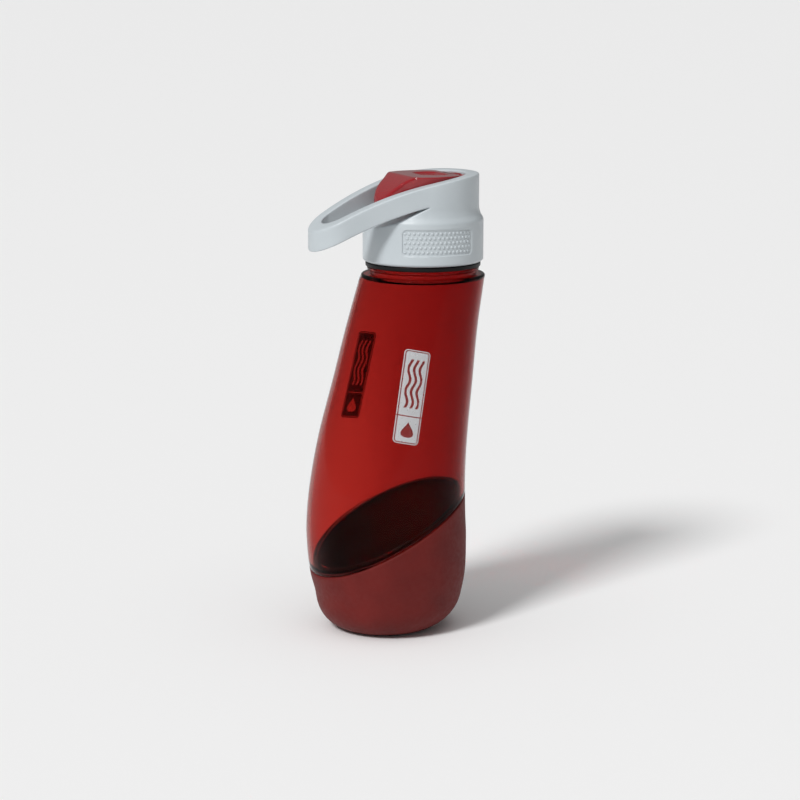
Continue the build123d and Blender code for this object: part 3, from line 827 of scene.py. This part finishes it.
def soft_rubber(name, light, dark, roughness, sheen):
    """Matte rubber: a powdery sheen on its own socket, mottled colour and a fine matt grain."""
    material, tree, shader = new_material(
        name, light, roughness, Sheen_Weight=sheen, Sheen_Roughness=0.45, Specular_IOR_Level=0.2
    )
    tree.links.new(color_between(tree, noise(tree, 60.0, 5.0), dark, light), shader.inputs["Base Color"])
    tree.links.new(value_between(tree, noise(tree, 420.0, 4.0), roughness * 0.9, min(roughness * 1.15, 1.0)),
                   shader.inputs["Roughness"])
    grain(tree, shader, noise(tree, 1900.0, 4.0), 0.3, 0.00008)
    return material


bottle_red = tinted_plastic(
    "tinted_red_bottle", (0.93, 0.24, 0.20), (0.55, 0.085, 0.082),
    roughness=0.045, weight=1.0, index=1.13, body_tint=(0.22, 0.0, 0.0), density=120.0,
)
cap_red = tinted_plastic(
    "tinted_red_cap", (0.47, 0.022, 0.030), (0.38, 0.014, 0.021),
    roughness=0.10, weight=0.35, index=1.55, body_tint=(0.7, 0.05, 0.05), density=150.0,
)
bowl_red = soft_rubber("matte_red_silicone", (0.142, 0.0110, 0.0090), (0.112, 0.0085, 0.0070), 0.62, 0.03)
lid_grey = moulded_plastic("pale_grey_satin", (0.50, 0.545, 0.57), (0.465, 0.51, 0.535), 0.42)
insert_red = moulded_plastic("red_insert_plastic", (0.40, 0.018, 0.024), (0.33, 0.014, 0.019), 0.24)
# painted shade: a black ring under the lid's skirt stands in for the dark band where the neck's bead lies in
# the skirt's shadow
shade_ring_black = soft_rubber("black_rubber", (0.006, 0.006, 0.007), (0.003, 0.003, 0.003), 0.45, 0.0)
seal_clear = soft_rubber("milky_silicone", (0.70, 0.71, 0.70), (0.62, 0.63, 0.62), 0.5, 0.1)
plug_red = soft_rubber("red_silicone_plug", (0.20, 0.02, 0.02), (0.15, 0.015, 0.015), 0.5, 0.1)


def brushed_pin():
    """Turned stainless pin: bright metal with fine rings round its length."""
    material, tree, shader = new_material("turned_steel", (0.62, 0.62, 0.61), 0.28, Metallic=1.0)
    rings = noise(tree, 900.0, 3.0, (0.1, 3, 0.1))
    tree.links.new(value_between(tree, rings, 0.2, 0.4), shader.inputs["Roughness"])
    grain(tree, shader, rings, 0.2, 0.00003)
    return material


def printed_film():
    """Silver-white print on the piece's own flat map, with marks left clear, all measured in mm.

    The marks are an outline, a divider, three waves and a drop.
    """
    material, tree, shader = new_material("label_print", (0.72, 0.73, 0.74), 0.32)

    def work(operation, a, b=0.0, c=0.0):
        node = tree.nodes.new("ShaderNodeMath")
        node.operation = operation
        for socket, value in zip(node.inputs, (a, b, c)):
            if isinstance(value, (int, float)):
                socket.default_value = value
            else:
                tree.links.new(value, socket)
        return node.outputs[0]

    def inside(distance, soft=0.06):
        """1 where the distance is below zero, with a soft edge."""
        return value_between(tree, distance, 1.0, 0.0, -soft, soft)

    layout = tree.nodes.new("ShaderNodeUVMap")
    layout.uv_map = "print"
    split = tree.nodes.new("ShaderNodeSeparateXYZ")
    tree.links.new(layout.outputs["UV"], split.inputs["Vector"])
    u = work("MULTIPLY", work("SUBTRACT", split.outputs["X"], 0.5), label_width)
    v = work("MULTIPLY", work("SUBTRACT", split.outputs["Y"], 0.5), label_height)
    across = work("SUBTRACT", work("ABSOLUTE", u), label_width / 2 - label_corner)
    up = work("SUBTRACT", work("ABSOLUTE", v), label_height / 2 - label_corner)
    past = work("SQRT", work("ADD", work("POWER", work("MAXIMUM", across, 0.0), 2.0),
                             work("POWER", work("MAXIMUM", up, 0.0), 2.0)))
    edge = work("ADD", past, work("MINIMUM", work("MAXIMUM", across, up), 0.0))
    edge = work("SUBTRACT", edge, label_corner)
    gap = inside(work("SUBTRACT", work("ABSOLUTE", work("ADD", edge, 0.75)), 0.28))
    divider = inside(work("SUBTRACT", work("ABSOLUTE", work("ADD", v, 10.4)), 0.3))
    swing = work("MULTIPLY", work("SINE", work("MULTIPLY", v, 0.52)), 0.85)
    lane = work("PINGPONG", work("ADD", work("ADD", u, swing), 30.0), 1.5)
    long_side = work("SUBTRACT", work("ABSOLUTE", work("SUBTRACT", v, 7.2)), 13.2)
    wide_side = work("SUBTRACT", work("ABSOLUTE", u), 4.3)
    waves = work("MULTIPLY", inside(work("SUBTRACT", lane, 0.72)),
                 inside(work("MAXIMUM", long_side, wide_side), 0.25))
    t = work("DIVIDE", work("ADD", v, 17.6), 4.4)
    left = work("MAXIMUM", work("SUBTRACT", 1.0, work("MULTIPLY", t, t)), 0.0)
    bulge = work("MULTIPLY", work("MULTIPLY", work("SUBTRACT", 1.0, t), work("SQRT", left)), 2.6)
    drop = inside(work("SUBTRACT", work("ABSOLUTE", u), bulge))
    drop = work("MULTIPLY", drop, inside(work("SUBTRACT", work("ABSOLUTE", t), 0.98), 0.01))
    ink = work("MINIMUM", work("ADD", work("ADD", gap, divider), work("ADD", waves, drop)), 1.0)
    ramp = color_between(tree, ink, (0.60, 0.615, 0.63), (0.86, 0.62, 0.60), 0.0, 1.0)
    tree.links.new(ramp, shader.inputs["Base Color"])
    tree.links.new(value_between(tree, ink, 0.3, 1.0, 0.0, 1.0), shader.inputs["Transmission Weight"])
    tree.links.new(value_between(tree, noise(tree, 500.0, 3.0), 0.26, 0.4), shader.inputs["Roughness"])
    return material


pin_steel = brushed_pin()
label_white = printed_film()

# ---------------------------------------------------------------- pieces on the frame
bowl = bowl_shell()
bottle = bottle_shell()
base = lid_base()
studs = grip_studs()
band = carry_band()
cap = cap_shell()
knuckle = cap_knuckle()
boss = cap_boss()
near_print = label_film("near_print", -1)
far_print = label_film("far_print", 1)

plan = [
    (bowl, "bowl", "bowl_silicone", bowl_red, "bowl"),
    (bottle, "bottle", "bottle_plastic", bottle_red, "bottle_body"),
    (base, "lid", "lid_plastic", lid_grey, "lid_shell"),
    (studs, "lid", "lid_plastic", lid_grey, None),
    (band, "lid", "lid_plastic", lid_grey, "lid_shell"),
    (cap, "cap", "cap_plastic", cap_red, "flip_cap"),
    (knuckle, "cap", "cap_plastic", cap_red, "flip_cap"),
    (boss, "cap", "cap_plastic", cap_red, "flip_cap"),
    (near_print, "bottle", "label_print", label_white, "near_label"),
    (far_print, "bottle", "label_print", label_white, "far_label"),
]
for piece, body, slot, material, node in plan:
    piece.data.materials.clear()
    piece.data.materials.append(material)
    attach(piece, body)
    if node:
        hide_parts(node)

kept_nodes = {
    # the neck ring's black is painted shade for the dark band under the skirt
    "neck_ring": shade_ring_black,
    "lid_seal": seal_clear,
    "spout_insert": insert_red,
    "hinge_pin": pin_steel,
    "vent_valve": seal_clear,
    "cap_plug": plug_red,
}
for node, material in kept_nodes.items():
    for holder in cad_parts[node].material_slots:
        holder.material = material


# ---------------------------------------------------------------- floor, light and camera
def floor():
    """A wide pale floor, one flat sheet that the bowl's foot stands on."""
    half = 40.0
    corners = [(-half, -half, 0), (half, -half, 0), (half, half, 0), (-half, half, 0)]
    mesh = bpy.data.meshes.new("studio_floor")
    mesh.from_pydata(corners, [], [(0, 1, 2, 3)])
    sheet = bpy.data.objects.new("studio_floor", mesh)
    bpy.context.scene.collection.objects.link(sheet)
    material = new_material("pale_floor", (0.9, 0.9, 0.9), 0.7)[0]
    sheet.data.materials.append(material)


def distant_light(name, azimuth, elevation, spread, strength):
    """A far studio light from a compass direction and height, as soft as its spread in degrees."""
    light = bpy.data.lights.new(name, "SUN")
    light.energy = strength
    light.angle = math.radians(spread)
    holder = bpy.data.objects.new(name, light)
    bpy.context.scene.collection.objects.link(holder)
    turn, rise = math.radians(azimuth), math.radians(elevation)
    towards = Vector((math.cos(turn) * math.cos(rise), math.sin(turn) * math.cos(rise), math.sin(rise)))
    holder.rotation_euler = (-towards).to_track_quat("-Z", "Y").to_euler()


floor()
distant_light("key_light", -150.0, 43.0, 14.0, 2.4)
distant_light("even_light", -114.0, 80.0, 60.0, 0.7)

world = bpy.data.worlds.new("studio")
world.use_nodes = True
world.node_tree.nodes["Background"].inputs["Color"].default_value = (1, 1, 1, 1)
world.node_tree.nodes["Background"].inputs["Strength"].default_value = 0.25
bpy.context.scene.world = world

azimuth, elevation, distance = math.radians(-24), math.radians(11), 1.300
target = Vector((0.00964, 0.0, 0.12877))
back = Vector((
    math.sin(azimuth) * math.cos(elevation),
    -math.cos(azimuth) * math.cos(elevation),
    math.sin(elevation),
))
lens = bpy.data.cameras.new("studio_camera")
lens.lens = 104.5
lens.sensor_width = 36.0
camera = bpy.data.objects.new("studio_camera", lens)
bpy.context.scene.collection.objects.link(camera)
camera.location = target + back * distance
camera.rotation_euler = (-back).to_track_quat("-Z", "Y").to_euler()
bpy.context.scene.camera = camera
bpy.context.scene.view_settings.view_transform = "Standard"

bpy.context.view_layer.update()
